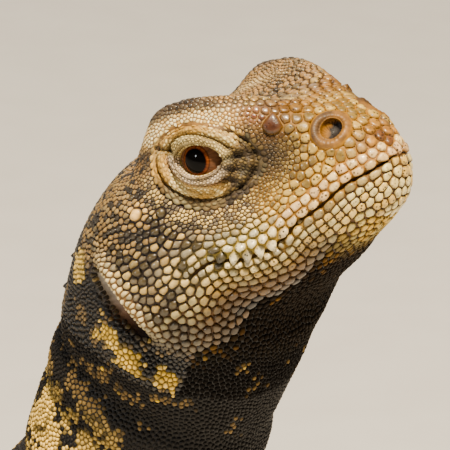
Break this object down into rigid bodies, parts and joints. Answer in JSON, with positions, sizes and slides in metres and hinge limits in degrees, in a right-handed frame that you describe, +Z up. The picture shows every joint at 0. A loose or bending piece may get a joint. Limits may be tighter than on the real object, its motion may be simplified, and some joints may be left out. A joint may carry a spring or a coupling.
{
  "type": "uromastyx lizard model",
  "caption": "Life-size still model of a uromastyx, a stout spiny-tailed lizard, standing with its head raised and its tail along the floor.",
  "frame": {"origin": "on the floor under the middle of the model's box", "axes": "+Z up, +X the way the animal faces, +Y its left side"},
  "size_m": [0.274, 0.154, 0.1009],
  "materials": {
    "head_skin": "scaled skin, tan and cream with dark grey",
    "neck_skin": "fine scaled skin, near black with yellow patches",
    "body_skin": "small scaled skin, dark grey-brown with yellow-tan spots",
    "leg_skin": "scaled skin, dark grey-brown",
    "tail_skin": "rings of horny spiny scales, tan-brown",
    "eye": "wet gloss",
    "claw": "satin horn"
  },
  "bodies": {
    "root": {"head": "head_skin", "neck": "neck_skin", "torso": "body_skin", "tail_base": "tail_skin", "tail_middle": "tail_skin", "tail_tip": "tail_skin", "foreleg_left": "leg_skin", "foreleg_right": "leg_skin", "hindleg_left": "leg_skin", "hindleg_right": "leg_skin", "eye_left": "eye", "eye_right": "eye"}
  },
  "joints": []
}
